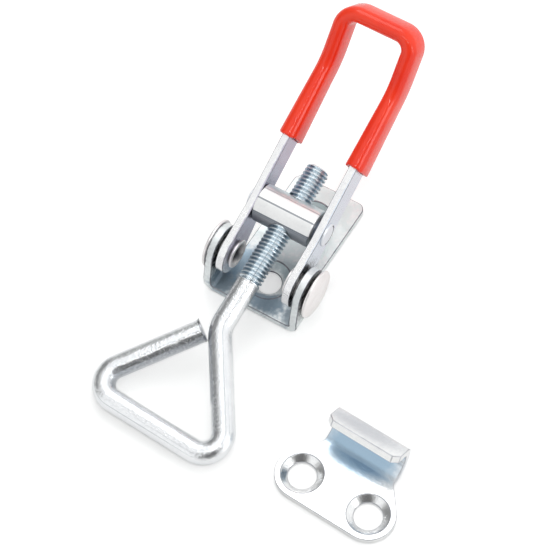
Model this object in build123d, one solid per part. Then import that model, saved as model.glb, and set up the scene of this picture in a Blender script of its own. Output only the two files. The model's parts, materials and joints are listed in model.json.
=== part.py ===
from build123d import *

import math
import os

# An over-centre toggle latch with a screw-adjusted draw loop, and its separate hook keeper.
# All sizes are in millimetres and degrees. The origin is midway between the two fixing
# holes of the base, on its underside. +X points from the handle towards the loop, +Z up.

# ------------------------------------------------------------------ sizes shared by the pieces
sheet_thickness = 2.0
running_fit = 0.05

# ------------------------------------------------------------------ base bracket
base_hole_spacing = 19.4
base_front_margin = 8.75
base_rear_margin = 10.05
base_tail_width = 19.3
base_tail_corner_radius = 2.0
ear_gap = 21.8
ear_foot_length = 13.8
ear_foot_height = 4.5
ear_top_radius = 5.6
ear_bend_radius = 1.0
pivot_height = 10.25
base_hole_diameter = 6.1
base_countersink_diameter = 10.8
base_countersink_depth = 1.6

# ------------------------------------------------------------------ pivot rivets
rivet_shank_diameter = 6.0
rivet_bore_diameter = 4.9
rivet_bore_depth = 3.5
rivet_head_diameter = 12.2
rivet_head_rim = 0.5
rivet_head_dome = 0.8
rivet_dome_shares = (1, 0.6, 0)
rivet_flare_diameter = 7.3
rivet_flare_rim = 0.5
rivet_tail_length = 1.05
right_rivet_stand_off = 1.0

# ------------------------------------------------------------------ handle, bent from strip
leg_gap = 16.1
strip_above_pivot = 3.8
strip_below_pivot = 3.5
handle_raise = 24.7
eye_radius = 5.5
eye_taper_length = 11.0
eye_blend_radius = 8.0
kink_distance = 51.0
kink_angle = 25.0
kink_radius = 15.0
grip_reach = 13.6
grip_corner_radius = 4.0

# ------------------------------------------------------------------ grip sleeve
sleeve_start = 30.0
sleeve_fit = 0.1
sleeve_width = 4.1
sleeve_height = 8.8
sleeve_round = 1.9
sleeve_flare = 0.45
sleeve_lip = 0.9

# ------------------------------------------------------------------ trunnion
trunnion_distance = 13.5
trunnion_offset = 0.7
barrel_diameter = 9.5
barrel_side_gap = 0.43
barrel_shift = -0.18
barrel_chamfer = 0.25
stud_diameter = 5.8
stud_proud = 0.45
stud_chamfer = 0.25

# ------------------------------------------------------------------ draw bolt with its loop
thread_diameter = 5.9
rod_diameter = 5.6
tip_length = 13.3
tip_chamfer = 0.6
thread_length = 32.5
neck_length = 31.6
neck_bend_radius = 8.0
loop_right_reach = 59.7
loop_right_width = 18.9
loop_left_reach = 58.25
loop_left_width = 21.75
loop_left_angle = 37.2
loop_corner_radius = 4.6
loop_end_gap = 0.15
bolt_skew = 0.9

# ------------------------------------------------------------------ keeper
keeper_x = 49.75
keeper_y = 42.15
keeper_turn = -3.3
keeper_hole_spacing = 18.0
keeper_lobe_radius = 6.4
keeper_waist_radius = 1.0
keeper_tongue_width = 19.1
keeper_rise_start = 9.5
keeper_rise_radius = 6.0
keeper_hook_radius = 1.8
keeper_hook_turn = 60.0
keeper_lip_length = 4.7
keeper_tip_chamfer = 1.5
keeper_hole_diameter = 6.7
keeper_countersink_diameter = 10.1
keeper_countersink_depth = 1.25

# ------------------------------------------------------------------ what follows from them
pivot_x = base_hole_spacing / 2 + base_front_margin - ear_foot_length / 2
ear_outer = ear_gap / 2 + sheet_thickness
leg_inner = leg_gap / 2
leg_outer = leg_inner + sheet_thickness
leg_middle = leg_inner + sheet_thickness / 2
pivot_hole_radius = rivet_shank_diameter / 2 + running_fit

strip_height = strip_above_pivot + strip_below_pivot
strip_centre = (strip_above_pivot - strip_below_pivot) / 2
kink_setback = kink_radius * math.tan(math.radians(kink_angle / 2))
kink_start = kink_distance - kink_setback

keeper_hole_places = (-keeper_hole_spacing / 2, keeper_hole_spacing / 2)

handle_place = Pos(pivot_x, 0, pivot_height) * Rot(0, handle_raise, 0)
trunnion_in_handle = Vector(-trunnion_distance, 0, trunnion_offset)
trunnion_centre = (handle_place * Pos(trunnion_in_handle)).position


def draw_loop_path():
    """Middle line of the rod in the bolt's own plane: +X along the bolt, from the thread's end."""
    right = Vector(loop_right_reach, loop_right_width)
    left = Vector(loop_left_reach, -loop_left_width)
    thread_end = thread_length - tip_length

    # The rod's sheared end stops where its inner corner comes up to the side of the neck.
    back = Vector(-1, 0).rotate(Axis.Z, -loop_left_angle)
    inward = back.rotate(Axis.Z, -90)
    neck = Vector(neck_length, 0)
    side = (right - neck).normalized()
    across = side.rotate(Axis.Z, 90)
    corner_start = left + inward * (rod_diameter / 2)
    distance_to_side = -(corner_start - neck).dot(across) - rod_diameter / 2
    run = (distance_to_side - loop_end_gap) / back.dot(across)
    end = left + back * run

    radii = (neck_bend_radius, loop_corner_radius, loop_corner_radius)
    return FilletPolyline(Vector(thread_end, 0), neck, right, left, end, radius=radii)


loop_path = draw_loop_path()

# The bolt slopes down from the trunnion until the loop lies on the mounting plane, and the
# play of its thread leaves it slightly askew.
skewed_loop = Rot(0, 0, -bolt_skew) * loop_path
loop_reach = skewed_loop.bounding_box().max.X
bolt_slope = math.degrees(math.asin((trunnion_centre.Z - rod_diameter / 2) / loop_reach))
bolt_turn = Rot(0, bolt_slope, 0) * Rot(0, 0, -bolt_skew)
bolt_place = Pos(trunnion_centre) * bolt_turn


def countersunk_hole(diameter, cone_diameter, cone_depth):
    """Cutter for one screw hole through the sheet, standing on z = 0 with its cone on top."""
    upright = (Align.CENTER, Align.CENTER, Align.MIN)
    bore = Cylinder(diameter / 2, sheet_thickness, align=upright)
    cone = Cone(diameter / 2, cone_diameter / 2, cone_depth, align=upright)
    return bore + Pos(0, 0, sheet_thickness - cone_depth) * cone


def base_bracket():
    """Flat plate with two countersunk holes, folded up into two round-topped ears."""
    ear_top = pivot_height + ear_top_radius
    outside = Pos(0, ear_top / 2) * Rectangle(2 * ear_outer, ear_top)
    outside = fillet(outside.vertices().group_by(Axis.Y)[0], ear_bend_radius + sheet_thickness)
    inside = Pos(0, sheet_thickness + ear_top / 2) * Rectangle(ear_gap, ear_top)
    inside = fillet(inside.vertices().group_by(Axis.Y)[0], ear_bend_radius)
    channel = Plane.YZ * (outside - inside)
    channel = Pos(pivot_x, 0, 0) * extrude(channel, ear_foot_length / 2, both=True)

    top = Pos(0, pivot_height) * Circle(ear_top_radius)
    foot = Pos(0, ear_foot_height / 2) * Rectangle(ear_foot_length, ear_foot_height)
    ear_outline = Plane.XZ * make_hull(top.edges() + foot.edges())
    ear_outline = Pos(pivot_x, 0, 0) * extrude(ear_outline, ear_outer, both=True)

    plate_length = base_rear_margin + base_hole_spacing + base_front_margin
    rear_edge = -base_hole_spacing / 2 - base_rear_margin
    plate = Pos(rear_edge + plate_length / 2, 0) * Rectangle(plate_length, base_tail_width)
    plate = fillet(plate.vertices().group_by(Axis.X)[0], base_tail_corner_radius)

    bracket = (channel & ear_outline) + extrude(plate, sheet_thickness)
    screw_hole = countersunk_hole(
        base_hole_diameter, base_countersink_diameter, base_countersink_depth
    )
    for x in (-base_hole_spacing / 2, base_hole_spacing / 2):
        bracket -= Pos(x, 0, 0) * screw_hole
    pivot_hole = Rot(90, 0, 0) * Cylinder(pivot_hole_radius, 3 * ear_outer)
    return bracket - Pos(pivot_x, 0, pivot_height) * pivot_hole


def pivot_rivet(side, stand_off):
    """Semi-tubular rivet: domed head outside an ear, hollow tail flared inside the leg.

    side is +1 or -1 along Y, and stand_off is the gap left under the head.
    """
    shank = rivet_shank_diameter / 2
    bore = rivet_bore_diameter / 2
    flare = rivet_flare_diameter / 2
    head = rivet_head_diameter / 2
    tail_end = leg_inner - rivet_tail_length
    flare_seat = leg_inner - running_fit
    head_seat = ear_outer + stand_off
    head_top = head_seat + rivet_head_rim + rivet_head_dome

    # The dome falls away from its middle with the square of the distance, in a few cones.
    dome = [(head * share, head_top - rivet_head_dome * share**2) for share in rivet_dome_shares]
    outline = Polyline(
        (0, tail_end + rivet_bore_depth),
        (bore, tail_end + rivet_bore_depth),
        (bore, tail_end),
        (flare, tail_end),
        (flare, tail_end + rivet_flare_rim),
        (shank, flare_seat),
        (shank, head_seat),
        (head, head_seat),
        *dome,
        close=True,
    )
    rivet = revolve(Plane.XZ * make_face(outline), Axis.Z)
    return Pos(pivot_x, 0, pivot_height) * Rot(-90 * side, 0, 0) * rivet


across_leg = Plane(origin=(0, leg_middle, strip_centre), x_dir=(0, 1, 0), z_dir=(1, 0, 0))


def round_grip(section):
    """Carry a section of the strip round both kinks and the U of the handle's grip.

    section is drawn about the strip's middle, X outwards across the leg and Y upwards.
    """
    kink_axis = Axis((-kink_start, 0, kink_radius + strip_centre), (0, 1, 0))
    at_kink = Pos(-kink_start, 0, 0) * (across_leg * section)
    bend = revolve(at_kink, kink_axis, revolution_arc=kink_angle)

    # Beyond the kink the strip lies square to one tilted plane, whose X runs to the grip.
    tilt = math.radians(kink_angle)
    forward = Vector(-math.cos(tilt), 0, math.sin(tilt))
    upward = Vector(math.sin(tilt), 0, math.cos(tilt))
    corner = Vector(-kink_distance, 0, strip_centre)
    tilted = Plane(origin=corner, x_dir=forward, z_dir=upward)
    u_line = FilletPolyline(
        (kink_setback, -leg_middle),
        (grip_reach, -leg_middle),
        (grip_reach, leg_middle),
        (kink_setback, leg_middle),
        radius=grip_corner_radius,
    )
    end_plane = Plane(
        origin=tilted.from_local_coords((kink_setback, -leg_middle, 0)),
        x_dir=(0, 1, 0),
        z_dir=forward * -1,
    )
    u_bend = sweep(end_plane * section, tilted * u_line)
    return bend + mirror(bend, Plane.XZ) + u_bend


def handle():
    """U handle of strip set on edge, with an eye on each rivet and a hole for each stud."""
    eye = Circle(eye_radius)
    root = Line((-eye_taper_length, -strip_below_pivot), (-eye_taper_length, strip_above_pivot))
    outline = make_hull(eye.edges() + root.edges())
    straight_middle = -(eye_taper_length + kink_start) / 2
    straight = Rectangle(kink_start - eye_taper_length, strip_height)
    outline += Pos(straight_middle, strip_centre) * straight
    shoulders = [v for v in outline.vertices() if abs(v.X + eye_taper_length) < running_fit]
    outline = fillet(shoulders, eye_blend_radius)

    leg = extrude(Plane.XZ * outline, sheet_thickness / 2, both=True)
    leg -= Rot(90, 0, 0) * Cylinder(pivot_hole_radius, 2 * sheet_thickness)
    stud_hole = Rot(90, 0, 0) * Cylinder(stud_diameter / 2 + running_fit, 2 * sheet_thickness)
    leg -= Pos(trunnion_in_handle) * stud_hole

    frame = round_grip(Rectangle(sheet_thickness, strip_height))
    for y in (-leg_middle, leg_middle):
        frame += Pos(0, y, 0) * leg
    return handle_place * frame


def grip_sleeve():
    """Plastic sleeve pushed over the strip: close round the grip, wider and hollow at its ends."""
    outer = RectangleRounded(sleeve_width, sleeve_height, sleeve_round)
    bore = Rectangle(sheet_thickness + 2 * sleeve_fit, strip_height + 2 * sleeve_fit)
    wall_growth = 2 * (sleeve_flare - sleeve_lip)
    opening = Rectangle(sleeve_width + wall_growth, sleeve_height + wall_growth)

    # Each leg widens evenly from the kink to its mouth.
    to_kink, to_mouth = Pos(-kink_start, 0, 0), Pos(-sleeve_start, 0, 0)
    leg_length = kink_start - sleeve_start
    flare_angle = math.degrees(math.atan(sleeve_flare / leg_length))
    leg = extrude(to_kink * (across_leg * outer), leg_length, taper=-flare_angle)
    narrow_end, wide_end = to_kink * (across_leg * bore), to_mouth * (across_leg * opening)
    leg_bore = loft([narrow_end, wide_end], ruled=True)

    solid_sleeve = round_grip(outer) + leg + mirror(leg, Plane.XZ)
    inside = round_grip(bore) + leg_bore + mirror(leg_bore, Plane.XZ)
    return handle_place * (solid_sleeve - inside)


def trunnion():
    """Round barrel between the legs, turned down to a stud at each end, bored for the bolt."""
    barrel = Cylinder(barrel_diameter / 2, 2 * (leg_inner - barrel_side_gap))
    barrel = chamfer(barrel.edges().filter_by(GeomType.CIRCLE), barrel_chamfer)
    barrel = Pos(0, 0, -barrel_shift) * barrel
    studs = Cylinder(stud_diameter / 2, 2 * (leg_outer + stud_proud))
    studs = chamfer(studs.edges().filter_by(GeomType.CIRCLE), stud_chamfer)
    pin = Rot(90, 0, 0) * (barrel + studs)
    bolt_hole = Rot(0, 90, 0) * Cylinder(thread_diameter / 2 + running_fit, 2 * barrel_diameter)
    return Pos(trunnion_centre) * (pin - bolt_turn * bolt_hole)


def draw_bolt():
    """Rod with a rolled thread, bent at its neck into a flat, open-ended triangular loop."""
    thread = Cylinder(thread_diameter / 2, thread_length)
    thread = chamfer(thread.edges().group_by(Axis.Z)[0].filter_by(GeomType.CIRCLE), tip_chamfer)
    thread = Pos(thread_length / 2 - tip_length, 0, 0) * Rot(0, 90, 0) * thread
    rod_start = Plane(origin=loop_path @ 0, x_dir=(0, 1, 0), z_dir=loop_path % 0)
    rod = sweep(rod_start * Circle(rod_diameter / 2), loop_path)
    return bolt_place * (thread + rod)


def keeper():
    """Plate with two lobed, countersunk holes, its tongue curled up and back into a hook."""
    middle = sheet_thickness / 2
    rise_end = keeper_rise_start + keeper_rise_radius
    turn = math.radians(keeper_hook_turn)
    hook_centre = Vector(rise_end - keeper_hook_radius, middle + keeper_rise_radius)
    hook_end = hook_centre + Vector(math.cos(turn), math.sin(turn)) * keeper_hook_radius
    lip_end = hook_end + Vector(-math.sin(turn), math.cos(turn)) * keeper_lip_length
    flat = Line((-keeper_lobe_radius, middle), (keeper_rise_start, middle))
    rise = RadiusArc(flat @ 1, (rise_end, middle + keeper_rise_radius), -keeper_rise_radius)
    hook = RadiusArc(rise @ 1, hook_end, -keeper_hook_radius)
    lip = Line(hook_end, lip_end)
    profile = trace(Curve() + flat + rise + hook + lip, sheet_thickness)
    half_width = keeper_hole_spacing / 2 + keeper_lobe_radius
    folded = extrude(Plane.XZ * profile, half_width, both=True)

    lobes = [Pos(0, y) * Circle(keeper_lobe_radius) for y in keeper_hole_places]
    tongue_length = rise_end + middle
    tongue_side = keeper_tongue_width / 2
    root = Line((keeper_rise_start, -tongue_side), (keeper_rise_start, tongue_side))
    plan = make_hull(lobes[0].edges() + lobes[1].edges() + root.edges())
    plan += Pos(tongue_length / 2, 0) * Rectangle(tongue_length, keeper_tongue_width)
    waist = [v for v in plan.vertices() if abs(v.X - keeper_rise_start) < running_fit]
    plan = fillet(waist, keeper_waist_radius)
    hook_top = lip_end.Y + middle * math.sin(turn)
    hook_plate = folded & extrude(plan, hook_top)

    tip_corners = []
    for edge in hook_plate.edges():
        seen_from_side = Vector(edge.center().X, edge.center().Z)
        if (seen_from_side - lip_end).length < running_fit:
            tip_corners.append(edge)
    hook_plate = chamfer(tip_corners, keeper_tip_chamfer)
    screw_hole = countersunk_hole(
        keeper_hole_diameter, keeper_countersink_diameter, keeper_countersink_depth
    )
    for y in keeper_hole_places:
        hook_plate -= Pos(0, y, 0) * screw_hole
    return Pos(keeper_x, keeper_y, 0) * Rot(0, 0, 180 + keeper_turn) * hook_plate


pieces = {
    "base_bracket": base_bracket(),
    "pivot_rivet_left": pivot_rivet(-1, 0),
    "pivot_rivet_right": pivot_rivet(1, right_rivet_stand_off),
    "handle": handle(),
    "grip_sleeve": grip_sleeve(),
    "trunnion": trunnion(),
    "draw_bolt": draw_bolt(),
    "keeper": keeper(),
}

os.makedirs("parts", exist_ok=True)
for name, piece in pieces.items():
    export_step(piece, f"parts/{name}.step")

print(f"pivot at x {pivot_x:.3f}, z {pivot_height:.3f}")
print(f"trunnion centre {trunnion_centre}, bolt slope {bolt_slope:.3f}, loop reach {loop_reach:.3f}")
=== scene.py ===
# %% [markdown]
# # An over-centre toggle latch
# A toggle latch pulls a lid shut. Its wire loop goes over the hook of a keeper, and the handle
# then swings down past the line of the pull, so the pull itself keeps it shut. This script
# dresses the latch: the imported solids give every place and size, and each cell below makes
# one piece, or the finish of one.

import json
import math

import bmesh
import bpy
import numpy as np
from mathutils import Matrix, Vector


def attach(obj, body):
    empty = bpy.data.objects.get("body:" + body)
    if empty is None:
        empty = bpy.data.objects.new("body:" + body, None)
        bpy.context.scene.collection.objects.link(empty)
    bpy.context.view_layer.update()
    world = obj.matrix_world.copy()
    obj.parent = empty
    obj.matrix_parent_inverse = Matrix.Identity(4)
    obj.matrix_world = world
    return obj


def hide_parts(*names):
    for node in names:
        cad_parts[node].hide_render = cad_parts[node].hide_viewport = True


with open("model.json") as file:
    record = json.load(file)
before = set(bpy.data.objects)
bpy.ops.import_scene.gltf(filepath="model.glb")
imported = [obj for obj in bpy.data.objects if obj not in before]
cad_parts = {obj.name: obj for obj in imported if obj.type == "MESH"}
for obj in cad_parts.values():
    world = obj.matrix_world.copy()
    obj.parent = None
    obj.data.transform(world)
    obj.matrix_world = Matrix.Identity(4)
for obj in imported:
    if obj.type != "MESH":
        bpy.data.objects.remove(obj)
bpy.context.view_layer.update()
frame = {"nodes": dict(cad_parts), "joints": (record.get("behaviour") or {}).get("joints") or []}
joints = {joint["name"]: joint for joint in frame["joints"]}
MM = 0.001
print("CAD nodes:", sorted(frame["nodes"]))

# %% [markdown]
# A camera is a place, a direction and a lens. The direction is two angles, and a small roll
# about the line of sight. A long lens from half a metre away keeps the perspective mild.

# %% Camera
camera_azimuth = 33.755
camera_elevation = 59.756
camera_roll = -2.636
camera_distance = 549.75 * MM
camera_focus_x = 7.0 * MM
camera_lens = 150.12


def turned_frame(azimuth, elevation, roll):
    """Right, up and backward directions of a camera seen from those angles, in degrees."""
    a, e, r = (math.radians(angle) for angle in (azimuth, elevation, roll))
    backward = Vector((math.cos(e) * math.cos(a), math.cos(e) * math.sin(a), math.sin(e)))
    level = Vector((0, 0, 1)).cross(backward).normalized()
    above = backward.cross(level)
    right = level * math.cos(r) + above * math.sin(r)
    up = above * math.cos(r) - level * math.sin(r)
    return right, up, backward


camera_axes = turned_frame(camera_azimuth, camera_elevation, camera_roll)
camera = bpy.data.objects.new("camera", bpy.data.cameras.new("camera"))
camera.data.lens = camera_lens
camera.data.sensor_width = 36
camera.data.clip_start = 0.01
turn = Matrix(camera_axes).transposed().to_4x4()
place = Vector((camera_focus_x, 0, 0)) + camera_axes[2] * camera_distance
camera.matrix_world = Matrix.Translation(place) @ turn
bpy.context.scene.collection.objects.link(camera)
bpy.context.scene.camera = camera
print("camera at", [round(c, 4) for c in place])

# %% [markdown]
# Bright metal has almost no colour of its own: it shows the room. So the room is made first.
# It is a white tent seen as a sky, with a few soft grey patches where a real tent has its
# opening, its seams and the person behind the camera. Each patch is a direction and a width:
# the closer a ray points to it, the darker the tent gets.

# %% A white tent for the metal to mirror
scene = bpy.context.scene
scene.view_settings.view_transform = "Standard"
tent_strength = 1.0


def direction(azimuth, elevation):
    """Unit vector towards that azimuth and elevation, in degrees."""
    a, e = math.radians(azimuth), math.radians(elevation)
    return (math.cos(e) * math.cos(a), math.cos(e) * math.sin(a), math.sin(e))


def link(tree, out_socket, in_socket):
    """Wire one node's output to another's input."""
    tree.links.new(out_socket, in_socket)
    return in_socket


def add_node(tree, kind, **settings):
    """A node of that kind, with its plain settings and, by number or name, its inputs."""
    node = tree.nodes.new(kind)
    inputs = settings.pop("inputs", {})
    for key, value in settings.items():
        setattr(node, key, value)
    for key, value in inputs.items():
        if isinstance(value, bpy.types.NodeSocket):
            tree.links.new(value, node.inputs[key])
        else:
            node.inputs[key].default_value = value
    return node


world = bpy.data.worlds.new("white_tent")
scene.world = world
world.use_nodes = True
sky = world.node_tree
ray = add_node(sky, "ShaderNodeTexCoord").outputs["Generated"]
shade = None
grey_patches = (  # azimuth, elevation, inner and outer half-width in degrees, what stays
    (38, 34, 14, 42, 0.14),
    (-88, 20, 16, 50, 0.26),
    (-160, 42, 2, 9, 0.60),
    (-75, 74, 2, 7, 0.66),
    (-16, 7, 2, 7, 0.45),
    (150, -6, 6, 16, 0.45),
    (-146, 60, 8, 26, 1.10),
    (-124, 8, 5, 22, 0.76),
)
for azimuth, elevation, inner, outer, kept in grey_patches:
    dot = add_node(sky, "ShaderNodeVectorMath", operation="DOT_PRODUCT",
                   inputs={0: ray, 1: direction(azimuth, elevation)}).outputs["Value"]
    patch = add_node(sky, "ShaderNodeMapRange", interpolation_type="SMOOTHSTEP", inputs={
        "Value": dot, "From Min": math.cos(math.radians(outer)),
        "From Max": math.cos(math.radians(inner)), "To Min": 1.0, "To Max": kept})
    patch = patch.outputs["Result"]
    if shade is not None:
        patch = add_node(sky, "ShaderNodeMath", operation="MULTIPLY",
                         inputs={0: shade, 1: patch}).outputs["Value"]
    shade = patch
strength = add_node(sky, "ShaderNodeMath", operation="MULTIPLY",
                    inputs={0: shade, 1: tent_strength}).outputs["Value"]
background = sky.nodes["Background"]
background.inputs["Color"].default_value = (0.985, 0.995, 1.0, 1)
link(sky, strength, background.inputs["Strength"])
print("grey patches in the tent:", len(grey_patches))

# %% [markdown]
# Three soft lamps hang outside the tent. A long narrow one draws the pale streak along the
# glossy plastic, and two broad ones fill from the side and from above. An area lamp's power is
# spread over its size, so it is given here as a brightness instead.

# %% Strip lamps


def strip_lamp(name, azimuth, elevation, distance, size, brightness, spin=0.0):
    """Rectangular lamp aimed at the origin, as bright per area as a white wall times brightness."""
    lamp = bpy.data.objects.new(name, bpy.data.lights.new(name, "AREA"))
    lamp.data.shape = "RECTANGLE"
    lamp.data.size, lamp.data.size_y = size
    lamp.data.energy = brightness * math.pi * size[0] * size[1]
    right, up, backward = turned_frame(azimuth, elevation, spin)
    aim = Matrix((right, up, backward)).transposed().to_4x4()
    lamp.matrix_world = Matrix.Translation(backward * distance) @ aim
    scene.collection.objects.link(lamp)
    return lamp


lamps = (
    strip_lamp("lamp_over", 44, 66, 1.0, (0.06, 0.45), 9.0, 60),
    strip_lamp("lamp_side", 92, 24, 1.0, (0.16, 0.5), 3.0),
    strip_lamp("lamp_fill", -146, 62, 1.0, (0.5, 0.5), 1.6),
)
print("lamps:", [lamp.name for lamp in lamps])

# %% [markdown]
# The floor is a white sweep of card. For the camera a little glow is added to it, and less
# of it for mirrors, so the empty card reads as white while the latch's shadow stays on it.

# %% Floor
floor_half = 1.5
card_glow = 0.31
mirror_glow = 0.04


def new_material(name):
    """Node material with its Principled shader, for wiring."""
    material = bpy.data.materials.new(name)
    material.use_nodes = True
    return material, material.node_tree, material.node_tree.nodes["Principled BSDF"]


card, card_tree, card_shader = new_material("white_card")
card_shader.inputs["Base Color"].default_value = (0.90, 0.90, 0.895, 1)
card_shader.inputs["Roughness"].default_value = 0.7
card_shader.inputs["Specular IOR Level"].default_value = 0.2
light_path = add_node(card_tree, "ShaderNodeLightPath")
in_mirrors = add_node(card_tree, "ShaderNodeMath", operation="MULTIPLY",
                      inputs={0: light_path.outputs["Is Glossy Ray"], 1: mirror_glow})
glow = add_node(card_tree, "ShaderNodeMath", operation="MULTIPLY_ADD", inputs={
    0: light_path.outputs["Is Camera Ray"], 1: card_glow, 2: in_mirrors.outputs["Value"]})
card_shader.inputs["Emission Color"].default_value = (1, 1, 0.99, 1)
link(card_tree, glow.outputs["Value"], card_shader.inputs["Emission Strength"])

floor_mesh = bpy.data.meshes.new("floor")
floor_mesh.from_pydata([(x * floor_half, y * floor_half, 0)
                        for x, y in ((-1, -1), (1, -1), (1, 1), (-1, 1))], [], [(0, 1, 2, 3)])
floor = bpy.data.objects.new("floor", floor_mesh)
scene.collection.objects.link(floor)
floor.data.materials.append(card)
print("floor, metres across:", 2 * floor_half)

# %% [markdown]
# The steel is plated with bright zinc. Up close that skin is cloudy: faint patches of
# blue and violet, tiny pits, and a grain that breaks up every reflection. The same cloudiness
# is on all the metal, so it is one node group: coordinates go in, and a colour, a
# roughness and a bump height come out. Each piece sets its own tints and amounts.

# %% Node group: cloudy zinc plating


def new_group(name, inputs, outputs):
    """Empty shader node group with those sockets, as (name, kind, start value)."""
    group = bpy.data.node_groups.new(name, "ShaderNodeTree")
    for label, kind, start in inputs:
        socket = group.interface.new_socket(label, in_out="INPUT", socket_type=kind)
        if start is not None:
            socket.default_value = start
    for label, kind in outputs:
        group.interface.new_socket(label, in_out="OUTPUT", socket_type=kind)
    return group, group.nodes.new("NodeGroupInput"), group.nodes.new("NodeGroupOutput")


plating, plating_in, plating_out = new_group(
    "zinc_plating",
    (("Place", "NodeSocketVector", None),
     ("Bright Tint", "NodeSocketColor", (0.90, 0.94, 0.98, 1)),
     ("Cloud Tint", "NodeSocketColor", (0.62, 0.68, 0.78, 1)),
     ("Cloudiness", "NodeSocketFloat", 0.5),
     ("Polish", "NodeSocketFloat", 0.25),
     ("Pitting", "NodeSocketFloat", 0.2)),
    (("Color", "NodeSocketColor"), ("Roughness", "NodeSocketFloat"), ("Height", "NodeSocketFloat")),
)


print("the plating takes:", [socket.name for socket in plating_in.outputs if socket.name])

# %% Noise, sums and mixes for any node tree


def noise(tree, place, per_metre, detail=2.0, roughness=0.5, distortion=0.0):
    """Fractal noise between 0 and 1, with features about 1 / per_metre metres long."""
    return add_node(tree, "ShaderNodeTexNoise", inputs={
        "Vector": place, "Scale": per_metre, "Detail": detail,
        "Roughness": roughness, "Distortion": distortion}).outputs["Fac"]


def spread(tree, value, low, high, to_low=0.0, to_high=1.0):
    """The value stretched from low..high to to_low..to_high, with soft ends."""
    return add_node(tree, "ShaderNodeMapRange", interpolation_type="SMOOTHSTEP", inputs={
        "Value": value, "From Min": low, "From Max": high,
        "To Min": to_low, "To Max": to_high}).outputs["Result"]


def combine(tree, operation, first, second=0.0):
    """One sum, product or other operation on two values. Some operations read only the first."""
    return add_node(tree, "ShaderNodeMath", operation=operation,
                    inputs={0: first, 1: second}).outputs["Value"]


def off_by(tree, value, target):
    """How far the value is from the target, never negative."""
    return combine(tree, "ABSOLUTE", combine(tree, "SUBTRACT", value, target))


def blend_colours(tree, mask, first, second, mode="MIX"):
    """First where the mask is 0, second where it is 1."""
    mixer = add_node(tree, "ShaderNodeMix", data_type="RGBA", blend_type=mode)
    for socket, value in zip((mixer.inputs[0], mixer.inputs[6], mixer.inputs[7]),
                             (mask, first, second)):
        if isinstance(value, bpy.types.NodeSocket):
            tree.links.new(value, socket)
        else:
            socket.default_value = value
    return mixer.outputs[2]


# %% Wire the plating
place_in = plating_in.outputs["Place"]
clouds = spread(plating, noise(plating, place_in, 210, 4, 0.62, 0.4), 0.36, 0.66)
flecks = spread(plating, noise(plating, place_in, 1500, 3, 0.6), 0.40, 0.70)
pits = noise(plating, place_in, 3800, 2, 0.6)
cloud_mask = combine(plating, "MULTIPLY", clouds, plating_in.outputs["Cloudiness"])
fleck_mask = combine(plating, "MULTIPLY", flecks, plating_in.outputs["Cloudiness"])
cloud_mask = combine(plating, "ADD", cloud_mask, combine(plating, "MULTIPLY", fleck_mask, 0.6))
cloud_mask = combine(plating, "MINIMUM", cloud_mask, 1.0)
link(plating, blend_colours(plating, cloud_mask, plating_in.outputs["Bright Tint"],
                            plating_in.outputs["Cloud Tint"]), plating_out.inputs["Color"])
rough = combine(plating, "MULTIPLY", cloud_mask, 0.16)
link(plating, combine(plating, "ADD", plating_in.outputs["Polish"], rough),
     plating_out.inputs["Roughness"])
relief = combine(plating, "ADD", pits, combine(plating, "MULTIPLY", flecks, 0.8))
link(plating, combine(plating, "MULTIPLY", relief, plating_in.outputs["Pitting"]),
     plating_out.inputs["Height"])
print("group", plating.name, "has", len(plating.nodes), "nodes")

# %% [markdown]
# Wire and bar are pulled through a die, which leaves fine scratches along their length. The
# scratches are noise stretched a hundredfold along the rod. They need to know which way
# the rod runs, so they read its own map: distance along, and distance around.

# %% Node group: drawing lines
drawing, drawing_in, drawing_out = new_group(
    "drawing_lines",
    (("Map", "NodeSocketVector", None), ("Along", "NodeSocketFloat", 12.0),
     ("Across", "NodeSocketFloat", 900.0), ("Depth", "NodeSocketFloat", 0.5)),
    (("Mask", "NodeSocketFloat"), ("Height", "NodeSocketFloat")),
)
stretch = add_node(drawing, "ShaderNodeCombineXYZ", inputs={
    "X": drawing_in.outputs["Along"], "Y": drawing_in.outputs["Across"], "Z": 1.0})
stretched = add_node(drawing, "ShaderNodeVectorMath", operation="MULTIPLY", inputs={
    0: drawing_in.outputs["Map"], 1: stretch.outputs["Vector"]}).outputs["Vector"]
lines = spread(drawing, noise(drawing, stretched, 1.0, 3, 0.65), 0.58, 0.66)
link(drawing, lines, drawing_out.inputs["Mask"])
link(drawing, combine(drawing, "MULTIPLY", lines, drawing_in.outputs["Depth"]),
     drawing_out.inputs["Height"])
print("group", drawing.name, "has", len(drawing.nodes), "nodes")

# %% [markdown]
# Some patches on the metal are painted light. Inside a fold there is painted shade, deeper and
# bluer, the narrow gaps round the pivots get painted shade that is near black, and a few patches
# are painted reflections. Such a patch is a tint inside a soft ellipsoid: the tint is full near the
# centre and fades out at the edge, and a little noise makes that edge ragged.
# It reads Object coordinates, so it stays in its place on the metal.

# %% Tinted patches
# Near black: painted shade in the narrow gaps round the pivots.
gap_shade_black = (0.012, 0.012, 0.014, 1)
pivot_place = [c / MM for c in joints["handle_swing"]["pos_m"]]


def tinted_zones(tree, colour, place, zones, raggedness):
    """Tints inside soft ellipsoids, each a centre and half-sizes in mm, a tint and an amount.

    The length of (place - centre) / half-sizes, plus noise, is under 0.5 where the tint is
    full, and over 1.1 where it is gone.
    """
    ragged = combine(tree, "MULTIPLY",
                     combine(tree, "SUBTRACT", noise(tree, place, 900, 3), 0.5), raggedness)
    for centre, sizes, tint, amount in zones:
        moved = add_node(tree, "ShaderNodeVectorMath", operation="SUBTRACT",
                         inputs={0: place, 1: [c * MM for c in centre]}).outputs["Vector"]
        scaled = add_node(tree, "ShaderNodeVectorMath", operation="DIVIDE",
                          inputs={0: moved, 1: [c * MM for c in sizes]}).outputs["Vector"]
        length = add_node(tree, "ShaderNodeVectorMath", operation="LENGTH",
                          inputs={0: scaled}).outputs["Value"]
        inside = spread(tree, combine(tree, "ADD", length, ragged), 0.5, 1.1, amount, 0.0)
        colour = blend_colours(tree, inside, colour, tint)
    return colour


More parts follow.
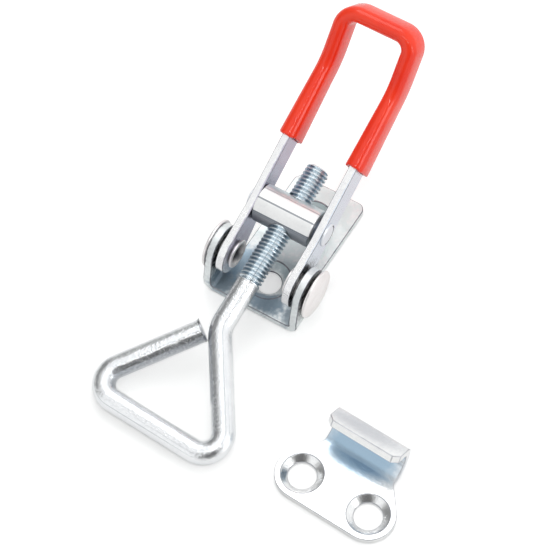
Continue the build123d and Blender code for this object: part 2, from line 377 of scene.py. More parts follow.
def gap_shade(y, half_width, radius=7.0):
    """Painted near-black shade in the gaps round the pivot, on faces near that y, in mm."""
    return ((pivot_place[0], y, pivot_place[2]), (radius, half_width, radius), gap_shade_black, 1.0)


print("grease goes round the pivot at, mm:", [round(c, 2) for c in pivot_place])

# %% [markdown]
# Every metal piece follows one recipe with its own numbers. The plating group gives its
# colour and roughness, then come any marks of its own and its tinted patches, and a bump
# node turns the height into small tilts of the surface. Bare metal only mirrors, so it is fully
# metallic, and its colour is the tint of what it mirrors.

# %% The recipe for plated steel
white_zinc = (0.97, 0.97, 0.965)


def zinc_material(name, bright, cloud, cloudiness, polish, pitting, relief=0.03,
                  marks=None, zones=(), raggedness=0.9):
    """Plated steel. relief is the bump's depth in mm, and zones are its tinted patches.

    marks is a function that adds the piece's own marks to its colour, roughness and height.
    """
    material, tree, shader = new_material(name)
    coordinates = add_node(tree, "ShaderNodeTexCoord")
    skin = add_node(tree, "ShaderNodeGroup", node_tree=plating, inputs={
        "Place": coordinates.outputs["Object"], "Bright Tint": (*bright, 1),
        "Cloud Tint": (*cloud, 1), "Cloudiness": cloudiness, "Polish": polish,
        "Pitting": pitting})
    colour, rough, height = (skin.outputs[label] for label in ("Color", "Roughness", "Height"))
    if marks:
        colour, rough, height = marks(tree, coordinates, colour, rough, height)
    if zones:
        colour = tinted_zones(tree, colour, coordinates.outputs["Object"], zones, raggedness)
    bump = add_node(tree, "ShaderNodeBump", inputs={
        "Height": height, "Distance": relief * MM, "Strength": 0.8})
    shader.inputs["Metallic"].default_value = 1.0
    link(tree, colour, shader.inputs["Base Color"])
    link(tree, rough, shader.inputs["Roughness"])
    link(tree, bump.outputs["Normal"], shader.inputs["Normal"])
    print("finish", name, "has", len(tree.nodes), "nodes")
    return material


# %% [markdown]
# A grid of points is the simplest surface there is: rows one way, columns the other, and a
# four-sided face between neighbours. Here every row is a closed ring, so the last column joins
# the first. Where a ring shrinks to a point, its doubled corners are merged, which
# closes the pole. Each corner also gets its place on a map, in metres along and around.

# %% From a grid of rings to a piece


def ring_surface(name, grid, along, around, sharp_angle=30.0):
    """Closed mesh of rings. grid is rows x columns x 3 in metres.

    along holds each row's distance and around the girth, which give every corner its UV.
    """
    rows, columns, _ = grid.shape
    index = np.arange(rows * columns).reshape(rows, columns)
    following = np.roll(index, -1, axis=1)
    quads = np.stack((index[:-1], following[:-1], following[1:], index[1:]), axis=-1)
    mesh = bpy.data.meshes.new(name)
    mesh.from_pydata(grid.reshape(-1, 3), [], quads.reshape(-1, 4))
    u0, u1 = along[:-1, None], along[1:, None]
    v0 = around * np.arange(columns)[None] / columns
    v1 = around * (np.arange(columns)[None] + 1) / columns
    u = np.stack(np.broadcast_arrays(u0, u0, u1, u1), axis=-1) + 0 * v0[..., None]
    v = np.stack(np.broadcast_arrays(v0, v1, v1, v0), axis=-1) + 0 * u0[..., None]
    uv = mesh.uv_layers.new(name="rod_map")
    uv.data.foreach_set("uv", np.stack((u, v), axis=-1).astype(np.float32).ravel())
    return finished_object(name, mesh, sharp_angle)


def finished_object(name, mesh, sharp_angle):
    """Merge doubled points, turn all faces outwards and shade smooth, except at sharp edges."""
    shell = bmesh.new()
    shell.from_mesh(mesh)
    bmesh.ops.remove_doubles(shell, verts=shell.verts, dist=1e-7)
    bmesh.ops.dissolve_degenerate(shell, edges=shell.edges, dist=1e-8)
    bmesh.ops.recalc_face_normals(shell, faces=shell.faces)
    open_edges = sum(not edge.is_manifold for edge in shell.edges)
    shell.to_mesh(mesh)
    shell.free()
    mesh.shade_smooth()
    mesh.set_sharp_from_angle(angle=math.radians(sharp_angle))
    piece = bpy.data.objects.new(name, mesh)
    scene.collection.objects.link(piece)
    print(f"{name}: {len(mesh.polygons)} faces, {open_edges} open edges")
    return piece


def fit_out(piece, material, body, node, edges=None):
    """Give the piece its finish, and let it ride on its body in place of that CAD node."""
    piece.data.materials.clear()
    piece.data.materials.append(material)
    if edges:
        piece.data.materials.append(edges)
    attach(piece, body)
    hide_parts(node)


# %% [markdown]
# Bent wire and bent strip both follow a path of straight runs joined by arcs. An arc at a
# corner starts at the radius times the tangent of half the turn before it. Halfway
# round it points halfway between the two runs. The function works in any number of dimensions.

# %% A path of runs and arcs


def rounded_path(corners, radii, step):
    """Points and unit directions along straight runs whose inner corners are rounded.

    On an arc that turns from direction a towards the sideways direction n, the point at
    angle t is start + radius * (sin t * a + (1 - cos t) * n).
    """
    corners = np.asarray(corners, float)
    runs = np.diff(corners, axis=0)
    ways = runs / np.linalg.norm(runs, axis=1, keepdims=True)
    points, directions = [corners[:1]], [ways[:1]]
    for corner, before, after, radius in zip(corners[1:-1], ways[:-1], ways[1:], radii):
        turn_angle = math.acos(np.clip(before @ after, -1, 1))
        sideways = (after - before * math.cos(turn_angle)) / math.sin(turn_angle)
        start = corner - before * radius * math.tan(turn_angle / 2)
        t = np.linspace(0, turn_angle, max(3, int(radius * turn_angle / step)))[:, None]
        points.append(start + radius * (np.sin(t) * before + (1 - np.cos(t)) * sideways))
        directions.append(np.cos(t) * before + np.sin(t) * sideways)
    points.append(corners[-1:])
    directions.append(ways[-1:])
    return np.concatenate(points), np.concatenate(directions)


def along_path(points, directions, distances):
    """The path's point and direction at those distances from its start."""
    travelled = np.concatenate(([0], np.cumsum(np.linalg.norm(np.diff(points, axis=0), axis=1))))
    place = np.stack([np.interp(distances, travelled, column) for column in points.T], axis=-1)
    way = np.stack([np.interp(distances, travelled, column) for column in directions.T], axis=-1)
    return place, way / np.linalg.norm(way, axis=1, keepdims=True)


def path_length(points):
    """Sum of the distances from each point to the next."""
    return float(np.linalg.norm(np.diff(points, axis=0), axis=1).sum())


trial_path, _ = rounded_path(((0, 0), (20, 0), (20, 20)), (8.0,), 0.1)
print("two 20 mm runs with an 8 mm corner:", round(path_length(trial_path), 2), "mm, and",
      round(24 + 4 * math.pi, 2), "by geometry")

# %% [markdown]
# ## The draw bolt
# One rod does two jobs: its threaded end screws through the trunnion, and its other
# end is bent into the loop that catches the keeper. The thread is rolled, so its crests
# stand a little prouder than the plain rod. A tube whose radius depends on both the distance
# along and the angle around makes thread, rod and loop in a single skin, without a join.

# %% The loop's path in its own plane
rod_radius = 2.8
thread_radius = 2.95
thread_pitch = 1.0
thread_length = 32.5
tip_length = 13.3
neck = np.array((31.6, 0.0))
loop_right = np.array((59.7, 18.9))
loop_left = np.array((58.25, -21.75))
loop_left_angle = math.radians(37.2)
loop_end_gap = 0.15

back = np.array((-math.cos(loop_left_angle), math.sin(loop_left_angle)))
inward = np.array((back[1], -back[0]))
side = (loop_right - neck) / np.linalg.norm(loop_right - neck)
across_side = np.array((-side[1], side[0]))
to_side = -(loop_left + inward * rod_radius - neck) @ across_side - rod_radius
loop_end = loop_left + back * (to_side - loop_end_gap) / (back @ across_side)

bolt_corners = (np.array((-tip_length, 0.0)), neck, loop_right, loop_left, loop_end)
bolt_points, bolt_directions = rounded_path(bolt_corners, (8.0, 4.6, 4.6), 0.1)
bolt_length = path_length(bolt_points)
far_bar_middle = bolt_length - np.linalg.norm(loop_end - loop_left) - 20.0
print("rod from tip to sheared end, mm:", round(bolt_length, 2))

# %% Thread and rod as one skin
thread_depth = 0.62
groove_floor = 0.16
flank_share = 0.62
tip_chamfer = 0.6
shear_draw = 0.16
burr_height = 0.45


def bolt_radius(distance, angle):
    """Radius of the skin in mm: a rounded V that climbs one pitch a turn, then a plain rod.

    The phase is distance / pitch less the turns made, without its whole part. It is 0.5 in the
    middle of a groove and 0 or 1 on a crest, with a smooth step between them.
    """
    phase = np.mod(distance / thread_pitch - angle / (2 * math.pi), 1.0)
    flank = np.clip((np.abs(2 * phase - 1) - groove_floor) / flank_share, 0, 1)
    ridge = flank * flank * (3 - 2 * flank)
    fade = np.clip((thread_length - distance) / (1.2 * thread_pitch), 0, 1)
    threaded = thread_radius - thread_depth * (1 - ridge)
    radius = rod_radius + (threaded - rod_radius) * fade
    return np.minimum(radius, thread_radius - tip_chamfer + distance)


threaded_rows = np.arange(0, thread_length + 0.2, thread_pitch / 12)
plain_rows = np.linspace(threaded_rows[-1] + 0.3, bolt_length, 300)
row_distance = np.concatenate((threaded_rows, plain_rows))
girth = np.linspace(0, 2 * math.pi, 48, endpoint=False)
skin_radius = bolt_radius(row_distance[:, None], girth[None])

# The end is sheared: its rim is drawn over a little on one side, and torn flat on the other.
sheared = np.clip((row_distance - bolt_length + 0.5) / 0.5, 0, 1)[:, None]
skin_radius -= shear_draw * sheared**2 * (1 + np.cos(girth - 2.2))[None] / 2
burr = np.clip((row_distance - bolt_length + 0.35) / 0.35, 0, 1)[:, None]
skin_radius += burr_height * burr * np.clip(np.cos(girth - 0.35), 0, 1)[None] ** 3

tip_rows = np.array((0.0, 0.45, 0.9))
end_rows = np.array((0.93, 0.6, 0.3, 0.0))
ring_radius = np.concatenate((tip_rows[:, None] * skin_radius[:1], skin_radius,
                              end_rows[:, None] * skin_radius[-1:]))
ring_distance = np.concatenate((tip_rows * 0, row_distance, end_rows * 0 + bolt_length))
ring_point, ring_way = along_path(bolt_points, bolt_directions, ring_distance)
print("rings:", ring_radius.shape)

# %% Place the bolt on its screw axis


def bolt_frame():
    """Along, across and upright directions of the bolt, from the axis that it turns about."""
    along = np.array(joints["loop_turn"]["axis"], float)
    along /= np.linalg.norm(along)
    upright = np.cross(along, (0, 1, 0))
    upright /= np.linalg.norm(upright)
    return along, np.cross(upright, along), upright


bolt_along, bolt_across, bolt_upright = bolt_frame()
trunnion_centre = np.array(joints["loop_turn"]["pos_m"], float)


def bolt_point(flat, height):
    """World point, in metres, of a place on the bolt's plane and a height above it, in mm."""
    flat = flat * MM
    return (trunnion_centre + flat[..., :1] * bolt_along + flat[..., 1:] * bolt_across
            + height[..., None] * MM * bolt_upright)


ring_sideways = np.stack((-ring_way[:, 1], ring_way[:, 0]), axis=-1)
reach = ring_radius * np.cos(girth)
flat_place = ring_point[:, None] + ring_sideways[:, None] * reach[..., None]

# The sheared face is torn, so it isn't quite flat.
torn_depth = 0.05
wobble = np.zeros_like(ring_radius)
wobble[-len(end_rows):] = torn_depth * np.sin(3 * girth + 1.0) * end_rows[:, None]
flat_place = flat_place - ring_way[:, None] * np.abs(wobble)[..., None]
bolt_grid = bolt_point(flat_place, ring_radius * np.sin(girth))
map_along = np.concatenate((tip_rows * 0, row_distance, bolt_length + 1 - end_rows)) * MM
draw_bolt = ring_surface("threaded_draw_bolt", bolt_grid, map_along,
                         2 * math.pi * rod_radius * MM)

# %% [markdown]
# The grooves of the thread get painted shade, darker and bluer than its crests. One side of the
# plain rod is grainy, and the sheared end is torn and grey. These marks follow the rod round its
# bends, so they read its map: the distance along, and the turns about it.

# %% Painted shade in the thread's grooves, and the grainy side
top_turn = 0.195
grainy_turn = 0.42
far_bar_half = 19


def along_and_turns(tree, rod_map):
    """Distance along the rod, and turns about it: the distance around over the rod's girth."""
    along, around, _ = add_node(tree, "ShaderNodeSeparateXYZ", inputs={0: rod_map}).outputs
    return along, combine(tree, "DIVIDE", around, 2 * math.pi * rod_radius * MM)


def thread_groove_shade(tree, along, turns):
    """Painted shade for the thread: 1 at the bottom of its grooves and 0 on its crests.

    It has the same phase as the skin: distance / pitch less the turns. The painted shade is
    narrow and lighter along the top of the rod, and wider and darker on its two sides.
    """
    screw = combine(tree, "SUBTRACT", combine(tree, "DIVIDE", along, thread_pitch * MM), turns)
    from_bottom = off_by(tree, combine(tree, "FRACT", screw), 0.5)
    on_side = spread(tree, off_by(tree, turns, top_turn), 0.05, 0.11)
    narrowed = combine(tree, "SUBTRACT", from_bottom, combine(tree, "MULTIPLY", on_side, 0.15))
    amount = spread(tree, on_side, 0, 1, 0.26, 0.66)
    groove = combine(tree, "MULTIPLY", spread(tree, narrowed, 0.08, 0.26, 1.0, 0.0), amount)
    return combine(tree, "MULTIPLY", groove,
                   spread(tree, along, (thread_length - 1.5) * MM, thread_length * MM, 1.0, 0.0))


def grainy_side(tree, rod_map, along, turns):
    """Speckled band along one side of the plain rod, but not on its far bar."""
    band = spread(tree, off_by(tree, turns, grainy_turn), 0.03, 0.10, 1.0, 0.0)
    off_far_bar = off_by(tree, along, far_bar_middle * MM)
    band = combine(tree, "MULTIPLY", band,
                   spread(tree, off_far_bar, far_bar_half * MM, (far_bar_half + 3) * MM))
    band = combine(tree, "MULTIPLY", band,
                   spread(tree, along, thread_length * MM, (thread_length + 4) * MM))
    grain = add_node(tree, "ShaderNodeVectorMath", operation="MULTIPLY",
                     inputs={0: rod_map, 1: (2200, 5200, 1)}).outputs["Vector"]
    return combine(tree, "MULTIPLY", band,
                   spread(tree, noise(tree, grain, 1.0, 2, 0.6), 0.35, 0.62, 0.30, 0.95))


print("middle of the far bar, mm along the rod:", round(float(far_bar_middle), 2))

# %% Finish the bolt
scratch_grey = (0.36, 0.38, 0.42, 1)
# Blue-grey for the painted shade in the thread's grooves.
groove_shade_blue = (0.26, 0.38, 0.48, 1)
thread_blue = (0.78, 0.89, 0.94, 1)
torn_grey = (0.30, 0.31, 0.33, 1)
grain_grey = (0.34, 0.36, 0.40, 1)


def rod_marks(tree, coordinates, colour, rough, height):
    """Drawing lines, with the thread's painted shade and tint, torn end and grainy side over them.
    """
    rod_map = coordinates.outputs["UV"]
    along, turns = along_and_turns(tree, rod_map)
    scratches = add_node(tree, "ShaderNodeGroup", node_tree=drawing, inputs={
        "Map": rod_map, "Along": 7.0, "Across": 2300.0, "Depth": 0.3})
    height = combine(tree, "ADD", height, scratches.outputs["Height"])
    scratched = combine(tree, "MULTIPLY", scratches.outputs["Mask"], 0.75)
    colour = blend_colours(tree, scratched, colour, scratch_grey)
    rough = combine(tree, "ADD", rough, combine(tree, "MULTIPLY", scratched, 0.15))
    colour = blend_colours(tree, thread_groove_shade(tree, along, turns), colour, groove_shade_blue)
    on_thread = spread(tree, along, (thread_length - 1.5) * MM, thread_length * MM, 0.55, 0.0)
    colour = blend_colours(tree, on_thread, colour, thread_blue, "MULTIPLY")
    rough = combine(tree, "ADD", rough, spread(
        tree, along, (thread_length - 2) * MM, thread_length * MM, 0.12, 0.0))
    torn = combine(
        tree, "MULTIPLY",
        spread(tree, along, (bolt_length - 0.7) * MM, (bolt_length - 0.35) * MM, 0.0, 0.85),
        spread(tree, along, (bolt_length + 0.1) * MM, (bolt_length + 0.3) * MM, 1.0, 0.3))
    colour = blend_colours(tree, torn, colour, torn_grey)
    colour = blend_colours(tree, grainy_side(tree, rod_map, along, turns), colour, grain_grey)
    return colour, rough, height


rod_zinc = zinc_material("zinc_on_rod", (0.95, 0.96, 0.97), (0.55, 0.59, 0.64), 0.14, 0.15, 1.2,
                         relief=0.04, marks=rod_marks)
fit_out(draw_bolt, rod_zinc, "draw_loop", "draw_bolt")

# %% [markdown]
# ## The grip sleeve
# A red plastic sleeve is pushed over the strip of the handle. It hugs the strip, round on
# its top and bottom, and opens a little at its two mouths. It could be a swept curve, but a
# grid lets the section change along the way: rounded box after rounded box, carried along
# the handle's path. The rows run out from the middle along the inner wall, turn over
# a soft lip at one mouth, go back along the outside, and return from the other mouth to the
# middle, so the sleeve is one closed tube with the strip inside it.

# %% The handle's path, in distance from the pivot, width and height
handle_raise = math.radians(24.7)
kink_angle = math.radians(25.0)
kink_distance = 51.0
grip_reach = 13.6
strip_middle = 9.05
strip_lift = 0.15
sleeve_start = 30.0
pivot = np.array(joints["handle_swing"]["pos_m"], float)
handle_out = np.array((-math.cos(handle_raise), 0, math.sin(handle_raise)))
handle_up = np.array((math.sin(handle_raise), 0, math.cos(handle_raise)))


def handle_point(local):
    """World point, in metres, of (distance out, y, height) in mm on the handle."""
    return (pivot + local[..., :1] * MM * handle_out + local[..., 1:2] * MM * np.array((0, 1, 0))
            + local[..., 2:] * MM * handle_up)


grip_out = kink_distance + grip_reach * math.cos(kink_angle)
grip_up = strip_lift + grip_reach * math.sin(kink_angle)
half_path = ((sleeve_start, -strip_middle, strip_lift), (kink_distance, -strip_middle, strip_lift),
             (grip_out, -strip_middle, grip_up))
sleeve_corners = half_path + tuple((x, -y, z) for x, y, z in half_path[::-1])
sleeve_points, sleeve_directions = rounded_path(sleeve_corners, (15, 4, 4, 15), 0.1)
sleeve_length = path_length(sleeve_points)
print("sleeve along its middle, mm:", round(sleeve_length, 2))

# %% Section of the sleeve along its path
sleeve_half = np.array((2.05, 4.4))
mouth_half = np.array((2.45, 4.9))
strip_room = np.array((1.2, 3.78))
mouth_round, sleeve_round = 2.2, 1.95
flank_bulge = 0.16
lip = 0.75
taper_length = 17.0
throat_inset = 1.45
wall_inset = 2


def rounded_box(half_width, half_height, radius, angle):
    """Point of a box with round corners: its corner's centre plus the radius at that angle."""
    across = np.sign(np.cos(angle)) * (half_width - radius) + radius * np.cos(angle)
    up = np.sign(np.sin(angle)) * (half_height - radius) + radius * np.sin(angle)
    return across, up


turn_lip = np.linspace(0, math.pi, 7)[1:-1]
lip_out = np.concatenate(([3.5, 1.2], lip / 2 * (1 - np.sin(turn_lip)), [lip / 2]))
lip_in = np.concatenate(([throat_inset, lip + 0.1], lip / 2 * (1 + np.cos(turn_lip)), [0]))
past_taper = taper_length + 0.2
flared = np.linspace(lip / 2 + 0.3, taper_length, 30)
middle = np.concatenate((flared, np.linspace(past_taper, sleeve_length - past_taper, 210),
                         sleeve_length - flared[::-1]))
inside = np.concatenate((np.linspace(sleeve_length / 2, past_taper, 70),
                         np.linspace(16.0, 4.5, 8)))
row_at = np.concatenate((inside, lip_out, middle, sleeve_length - lip_out[::-1],
                         sleeve_length - inside[::-1]))
inner_wall = inside * 0 + wall_inset
row_inset = np.concatenate((inner_wall, lip_in, middle * 0, lip_in[::-1], inner_wall))
print("sleeve rows:", len(row_at))

# %% Sweep the sleeve
to_mouth = np.minimum(row_at, sleeve_length - row_at)
opened = np.clip(1 - to_mouth / taper_length, 0, 1)
half = sleeve_half + (mouth_half - sleeve_half) * opened[:, None]
corner = sleeve_round + (mouth_round - sleeve_round) * opened
row_point, row_way = along_path(sleeve_points, sleeve_directions, row_at)
quarter = np.linspace(0.02, math.pi / 2 - 0.02, 10)
around = np.concatenate([quarter + k * math.pi / 2 for k in range(4)])
row_inset = row_inset[:, None]
shrunk = np.where(row_inset >= throat_inset, strip_room, half - row_inset)
across, up = rounded_box(shrunk[:, :1], shrunk[:, 1:],
                         np.maximum(corner[:, None] - row_inset, 0.15), around[None])
across = across * (1 - flank_bulge * (up / sleeve_half[1]) ** 2)
tilt = np.interp(row_point[:, 0], (kink_distance - 3.2, kink_distance + 3.0), (0, kink_angle))
row_up = np.stack((-np.sin(tilt), tilt * 0, np.cos(tilt)), axis=-1)
row_up -= row_way * np.sum(row_up * row_way, axis=1, keepdims=True)
row_up /= np.linalg.norm(row_up, axis=1, keepdims=True)
row_across = np.cross(row_way, row_up)
mouth_waves = 0.16 * np.sin(2 * around + 0.8) + 0.07 * np.sin(5 * around)
waves = np.clip(1 - to_mouth / 2.5, 0, 1)[:, None] * mouth_waves[None]
sleeve_grid = handle_point(row_point[:, None] + row_across[:, None] * across[..., None]
                           + row_way[:, None] * waves[..., None]
                           + row_up[:, None] * up[..., None])
sleeve_grid[-1] = sleeve_grid[0]
map_along = np.arange(len(row_at)) * 0.3 * MM
grip_sleeve = ring_surface("dipped_grip_sleeve", sleeve_grid, map_along, 24 * MM, 50.0)

# %% [markdown]
# Soft PVC is a saturated orange red under a smooth glossy skin. A little unevenness in
# the skin makes the streaks of light waver, as they do on a sleeve that was pushed on warm.

# %% Red PVC
pvc, pvc_tree, pvc_shader = new_material("red_pvc")
pvc_place = add_node(pvc_tree, "ShaderNodeTexCoord").outputs["Object"]
pvc_clouds = spread(pvc_tree, noise(pvc_tree, pvc_place, 120, 3, 0.5), 0.3, 0.7)
pvc_colour = blend_colours(pvc_tree, pvc_clouds, (1.0, 0.055, 0.020, 1), (0.93, 0.036, 0.014, 1))
pvc_rough = spread(pvc_tree, noise(pvc_tree, pvc_place, 900, 2, 0.5), 0.3, 0.7, 0.08, 0.15)
pvc_waves = combine(pvc_tree, "ADD", noise(pvc_tree, pvc_place, 260, 2, 0.5),
                    combine(pvc_tree, "MULTIPLY", noise(pvc_tree, pvc_place, 2200, 2, 0.5), 0.06))
pvc_bump = add_node(pvc_tree, "ShaderNodeBump", inputs={
    "Height": pvc_waves, "Distance": 0.03 * MM, "Strength": 0.5})
link(pvc_tree, pvc_colour, pvc_shader.inputs["Base Color"])
link(pvc_tree, pvc_rough, pvc_shader.inputs["Roughness"])
link(pvc_tree, pvc_bump.outputs["Normal"], pvc_shader.inputs["Normal"])
pvc_shader.inputs["IOR"].default_value = 1.42
print("finish", pvc.name, "has", len(pvc_tree.nodes), "nodes")
fit_out(grip_sleeve, pvc, "lever", "grip_sleeve")

# %% [markdown]
# ## The pivot rivets
# A semi-tubular rivet has a solid domed head and a hollow tail. The tail goes through the ear
# and the leg, and a punch rolls its end outwards. A lathe shape fits it: an outline of
# radius against height, spun round. Its corners are rounded, because a struck rivet has none.

# %% Spin the rivets


def spun_grid(outline, centre, axis, columns=72):
    """Outline of (radius, height) in mm spun about the axis: radius times a circle, plus height."""
    axis = np.array(axis, float)
    first = np.cross(axis, (1, 0, 0))
    second = np.cross(axis, first)
    angle = np.linspace(0, 2 * math.pi, columns, endpoint=False)
    circle = np.cos(angle)[:, None] * first + np.sin(angle)[:, None] * second
    return centre + (outline[:, None, :1] * circle + outline[:, None, 1:] * axis) * MM


def rivet_outline(head_seat):
    """Radius and height from the pivot's middle, from the bottom of the bore to the dome's top."""
    corners = ((0, 10.5), (1.7, 10.5), (1.7, 8.3), (2.75, 7.0), (3.65, 7.0), (3.65, 7.55),
               (3.0, 7.98), (3.0, head_seat), (6.1, head_seat), (6.1, head_seat + 0.6),
               (5.0, head_seat + 1.0))
    radii = (0.4, 0.8, 0.3, 0.24, 0.25, 0.1, 0.15, 0.2, 0.35)
    lower, _ = rounded_path(corners, radii, 0.08)
    dome = np.linspace(5.0, 0, 14)[1:]
    dome_height = head_seat + 1.0 + 0.3 * (1 - (dome / 5.0) ** 2)
    return np.concatenate((lower, np.stack((dome, dome_height), axis=-1)))


# The pinkish white is a painted reflection of the red sleeve, and the zones are painted near-black
# shade in the gaps under the heads, round the shanks and in the bores.
rivet_zinc = zinc_material("zinc_on_rivets", (0.98, 0.95, 0.94), (0.80, 0.75, 0.75), 0.25, 0.36,
                           0.25, zones=(gap_shade(13.3, 0.7, 8.0), gap_shade(-12.8, 0.3, 5.6),
                                        gap_shade(-9.0, 4.5, 3.3), gap_shade(9.0, 4.5, 3.3)),
                           raggedness=0.12)
for name, side_sign, head_seat in (("pivot_rivet_left", -1, 12.9), ("pivot_rivet_right", 1, 13.9)):
    outline = rivet_outline(head_seat)
    grid = spun_grid(outline, pivot, (0, side_sign, 0))
    travelled = np.concatenate(([0], np.cumsum(np.linalg.norm(np.diff(outline, axis=0), axis=1))))
    rivet = ring_surface(name.replace("pivot_rivet", "clinched_rivet"), grid, travelled * MM,
                         12 * math.pi * MM, 40.0)
    fit_out(rivet, rivet_zinc, "base", name)

# %% [markdown]
# ## Sheet metal
# The bracket, the keeper and the handle are cut and folded from 2 mm steel. Shears and
# press tools leave their edges slightly rolled, and that soft edge is what catches the light.
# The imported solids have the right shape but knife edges. So a copy of each is merged, its
# flat facets are joined, and a narrow bevel rounds the edges.

# %% Roll the edges of the sheet


def rolled_copy(node, name, width, angle=26.0, crisp_hole=None):
    """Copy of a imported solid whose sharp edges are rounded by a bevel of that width, in mm.

    An edge is sharp where its two faces turn by more than the angle, in degrees.
    crisp_hole is a hole along Y, as its x, z and radius in metres, whose rims stay sharp.
    """
    mesh = frame["nodes"][node].data.copy()
    mesh.name = name
    shell = bmesh.new()
    shell.from_mesh(mesh)
    bmesh.ops.remove_doubles(shell, verts=shell.verts, dist=2e-6)
    bmesh.ops.dissolve_limit(shell, angle_limit=math.radians(0.4), verts=shell.verts,
                             edges=shell.edges)
    open_edges = sum(not edge.is_manifold for edge in shell.edges)
    shell.edges.index_update()
    sharp = np.array([edge.calc_face_angle(0.0) > math.radians(angle) for edge in shell.edges])
    shell.to_mesh(mesh)
    shell.free()
    if crisp_hole:
        x, z, radius = crisp_hole
        corners = np.empty(len(mesh.vertices) * 3, np.float32)
        mesh.vertices.foreach_get("co", corners)
        ends = np.empty(len(mesh.edges) * 2, np.int32)
        mesh.edges.foreach_get("vertices", ends)
        corners = corners.reshape(-1, 3).astype(float)
        from_axis = np.hypot(corners[:, 0] - x, corners[:, 2] - z)
        sharp &= from_axis[ends.reshape(-1, 2)].max(axis=1) > radius
    mesh.shade_smooth()
    piece = bpy.data.objects.new(name, mesh)
    scene.collection.objects.link(piece)
    bevel = piece.modifiers.new("rolled_edge", "BEVEL")
    bevel.width = width * MM
    bevel.segments = 2
    bevel.limit_method = "WEIGHT"
    weight = mesh.attributes.new("bevel_weight_edge", "FLOAT", "EDGE")
    weight.data.foreach_set("value", sharp.astype(np.float32))
    bevel.material = 1
    bevel.use_clamp_overlap = False
    bevel.loop_slide = False
    weld = piece.modifiers.new("close_up_specks", "WELD")
    weld.merge_threshold = 3e-6
    weights = piece.modifiers.new("flat_faces_stay_flat", "WEIGHTED_NORMAL")
    weights.weight = 90
    weights.keep_sharp = True
    print(f"{name}: {len(mesh.polygons)} faces before the bevel, {open_edges} open edges")
    return piece


# %% [markdown]
# The three have their own finishes. The bracket's plate has painted blue shade where its ears
# shade it, the keeper has painted blue shade inside its hook, and the strip of the handle has
# painted reflections of the shaded floor: violet on the inside of its left leg and blue on the
# outside of its right one. The rolled edges get a darker zinc, as a second material that the
# bevel puts on them.

# %% Finishes of bracket and keeper
sheet_white = (0.93, 0.965, 0.965)
fold_shade_blue = (0.22, 0.31, 0.39, 1)
ear_shade_blue = (0.36, 0.50, 0.62, 1)
plate_grey = (0.45, 0.54, 0.57, 1)
red_reflection_offset = (0.74, 0.85, 0.85, 1)
hook_shade_blue = (0.33, 0.47, 0.60, 1)
lip_grey = (0.60, 0.61, 0.64, 1)

sheet_zinc = zinc_material(
    "zinc_on_sheet", sheet_white, (0.74, 0.76, 0.77), 0.50, 0.46, 0.5,
    # Blue zones: painted shade on the plate in its folds and where the ears shade it.
    zones=(((15.0, 2.5, 2), (4.2, 6.5, 2), fold_shade_blue, 0.85),
           ((15.5, -9, 3), (5, 4, 4), fold_shade_blue, 0.8),
           ((15.5, 9.5, 3), (4, 2, 4), fold_shade_blue, 0.6),
           ((9, -8, 2), (6, 3.2, 2), ear_shade_blue, 0.85),
           ((6, 3, 2), (5, 7, 1.5), plate_grey, 0.8),
           # The cyan tint over the plate's rear is painted to offset the pink that the red sleeve
           # puts in its reflection.
           ((-10, 0, 2), (15, 15, 1.2), red_reflection_offset, 0.95),
           # Painted near-black shade in the gaps between the ears, the legs and the rivet heads.
           gap_shade(-10.9, 0.5), gap_shade(10.9, 0.5), gap_shade(-12.7, 0.4, 6.6),
           gap_shade(13.1, 0.4, 9.0)))
keeper_zinc = zinc_material(
    "zinc_on_keeper", white_zinc, (0.66, 0.68, 0.72), 0.18, 0.18, 0.4,
    # The blue zone is painted shade inside the hook, under its lip.
    zones=(((38.3, 42, 3.4), (7.0, 12.5, 6.5), hook_shade_blue, 0.95),
           ((34.4, 42, 11.6), (4.4, 17, 3.6), lip_grey, 0.85)), raggedness=0.25)
edge_zinc = zinc_material("zinc_on_sheared_edges", (0.36, 0.36, 0.38), (0.20, 0.21, 0.24), 0.8,
                          0.34, 1.0)
soft_edge_zinc = zinc_material("zinc_on_soft_edges", (0.62, 0.63, 0.65), (0.45, 0.46, 0.49), 0.6,
                               0.30, 0.6)

# %% Finish of the strip
leg_reflection_blue = (0.80, 0.86, 0.95, 1)
leg_reflection_violet = (0.50, 0.47, 0.60, 1)
# The flat side faces are tinted cooler than the top: painted shade.
side_face_shade = (0.87, 0.925, 0.965, 1)


def strip_side_shade(tree, coordinates, colour, rough, height):
    """Cooler painted shade on the strip's flat faces, whose normals point along Y, not its edges.
    """
    sideways = add_node(tree, "ShaderNodeSeparateXYZ",
                        inputs={0: coordinates.outputs["Normal"]}).outputs["Y"]
    on_face = spread(tree, combine(tree, "ABSOLUTE", sideways), 0.5, 0.9)
    return blend_colours(tree, on_face, colour, side_face_shade, "MULTIPLY"), rough, height


strip_zinc = zinc_material("zinc_on_strip", white_zinc, (0.58, 0.57, 0.66), 0.15, 0.24, 0.5,
                           marks=strip_side_shade,
                           # Painted reflections of the shaded floor: blue on the right leg's outer
                           # face and violet on the inside of the left leg.
                           zones=(((-7, 10.05, 19), (24, 0.5, 14), leg_reflection_blue, 0.8),
                                  ((-6, -8.05, 19), (30, 0.5, 16), leg_reflection_violet, 0.8),
                                  # Painted near-black shade in the gaps between the legs and the
                                  # ears.
                                  gap_shade(-10.3, 0.4), gap_shade(10.2, 0.4, 8.0)))

# %% The three pieces
bracket = rolled_copy("base_bracket", "folded_bracket", 0.20)
fit_out(bracket, sheet_zinc, "base", "base_bracket", edges=edge_zinc)
hook_keeper = rolled_copy("keeper", "hook_keeper", 0.18)
fit_out(hook_keeper, keeper_zinc, "base", "keeper", edges=soft_edge_zinc)
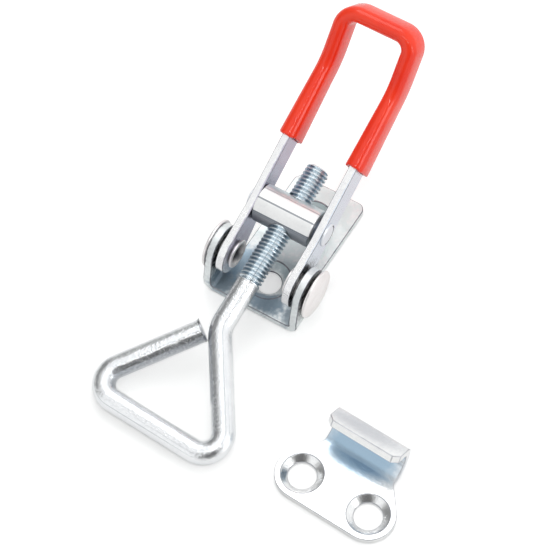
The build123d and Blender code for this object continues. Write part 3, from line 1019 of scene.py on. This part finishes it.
# The studs' holes come close under the strip's top edge, so their rims stay crisp and the
# strip's own edges are rolled a little less than the sheet's.
stud_x, _, stud_z = joints["trunnion_turn"]["pos_m"]
strip_handle = rolled_copy("handle", "strip_handle", 0.12,
                           crisp_hole=(stud_x, stud_z, 3.2 * MM))
fit_out(strip_handle, strip_zinc, "lever", "handle", edges=edge_zinc)

# %% [markdown]
# ## The trunnion
# The cross pin is turned from bar, and its imported solid already has its studs,
# chamfers and bore. It stays as it is and only gets its finish. Painted reflections of the
# tent's seams run along it as lines, its underside and its ends get painted shade, and each stud
# shows a painted shadow arc at its rim on one side. The lines are found by the angle about the
# bar, so that they stay straight from end to end.

# %% Painted reflections and shade on the turned bar
# Grey for the painted reflections of the tent's seams and the painted shade on the bar.
reflection_and_shade_grey = (0.14, 0.16, 0.20, 1)
stud_white = (0.88, 0.90, 0.94, 1)
stud_face = 9.98
stud_rim = 2.48
barrel_middle = -0.18
barrel_half = 7.60
reflected_lines_on_bar = ((0.50, 0.95), (0.41, 0.85), (1.253, 0.75), (1.88, 0.5))  # angle, darkness


def bar_reflections_and_shade(tree, coordinates, colour, rough, height):
    """Painted reflection lines along the bar, painted shade on its underside and ends, and a
    painted shadow arc at the rim of the white studs.

    The angle is atan2(z, x) from the bar's middle, so it goes from +X towards +Z, and the
    radius is the root of x * x + z * z.
    """
    centred = add_node(tree, "ShaderNodeVectorMath", operation="SUBTRACT", inputs={
        0: coordinates.outputs["Object"], 1: trunnion_centre.tolist()}).outputs["Vector"]
    x, y, z = add_node(tree, "ShaderNodeSeparateXYZ", inputs={0: centred}).outputs
    angle = combine(tree, "ARCTAN2", z, x)
    mark = combine(tree, "MAXIMUM", spread(tree, angle, 0.47, 0.54, 0.72, 0.0),
                   spread(tree, angle, 2.30, 2.60, 0.0, 0.75))
    for line_angle, darkness in reflected_lines_on_bar:
        mark = combine(tree, "MAXIMUM", mark, spread(
            tree, off_by(tree, angle, line_angle), 0.02, 0.06, darkness, 0.0))
    radius = combine(tree, "SQRT", combine(tree, "ADD", combine(tree, "MULTIPLY", x, x),
                                           combine(tree, "MULTIPLY", z, z)))
    mark = combine(tree, "MULTIPLY", mark, spread(tree, radius, 4.3 * MM, 4.5 * MM))
    mark = combine(tree, "MAXIMUM", mark, spread(
        tree, off_by(tree, y, barrel_middle * MM), barrel_half * MM, (barrel_half + 0.06) * MM))
    lower_back = combine(tree, "SUBTRACT", combine(tree, "MULTIPLY", x, -0.68),
                         combine(tree, "MULTIPLY", z, 0.73))
    # Painted shadow: a dark arc at the studs' rim on their lower back side.
    rim = combine(
        tree, "MULTIPLY",
        spread(tree, off_by(tree, radius, stud_rim * MM), 0.10 * MM, 0.20 * MM, 1.0, 0.0),
        spread(tree, lower_back, 0.1 * MM, 0.6 * MM))
    at_end = combine(tree, "GREATER_THAN", combine(tree, "ABSOLUTE", y), stud_face * MM)
    colour = blend_colours(tree, mark, colour, reflection_and_shade_grey)
    colour = blend_colours(tree, at_end, colour, stud_white)
    colour = blend_colours(tree, combine(tree, "MULTIPLY", rim, at_end), colour, gap_shade_black)
    return colour, rough, height


print("lines along the bar:", len(reflected_lines_on_bar))

# %% Finish the trunnion
turned_zinc = zinc_material("zinc_on_turned_bar", white_zinc, (0.68, 0.69, 0.71), 0.14, 0.42,
                            0.3, marks=bar_reflections_and_shade,
                            # The cyan zone on the bar's top is painted to offset the pink that the
                            # red sleeve puts in its reflection.
                            zones=(((-3.9, 0, 20.0), (2.6, 10, 2.4), (0.70, 0.83, 0.85, 1), 0.9),))
trunnion = frame["nodes"]["trunnion"]
trunnion.data.materials.clear()
trunnion.data.materials.append(turned_zinc)
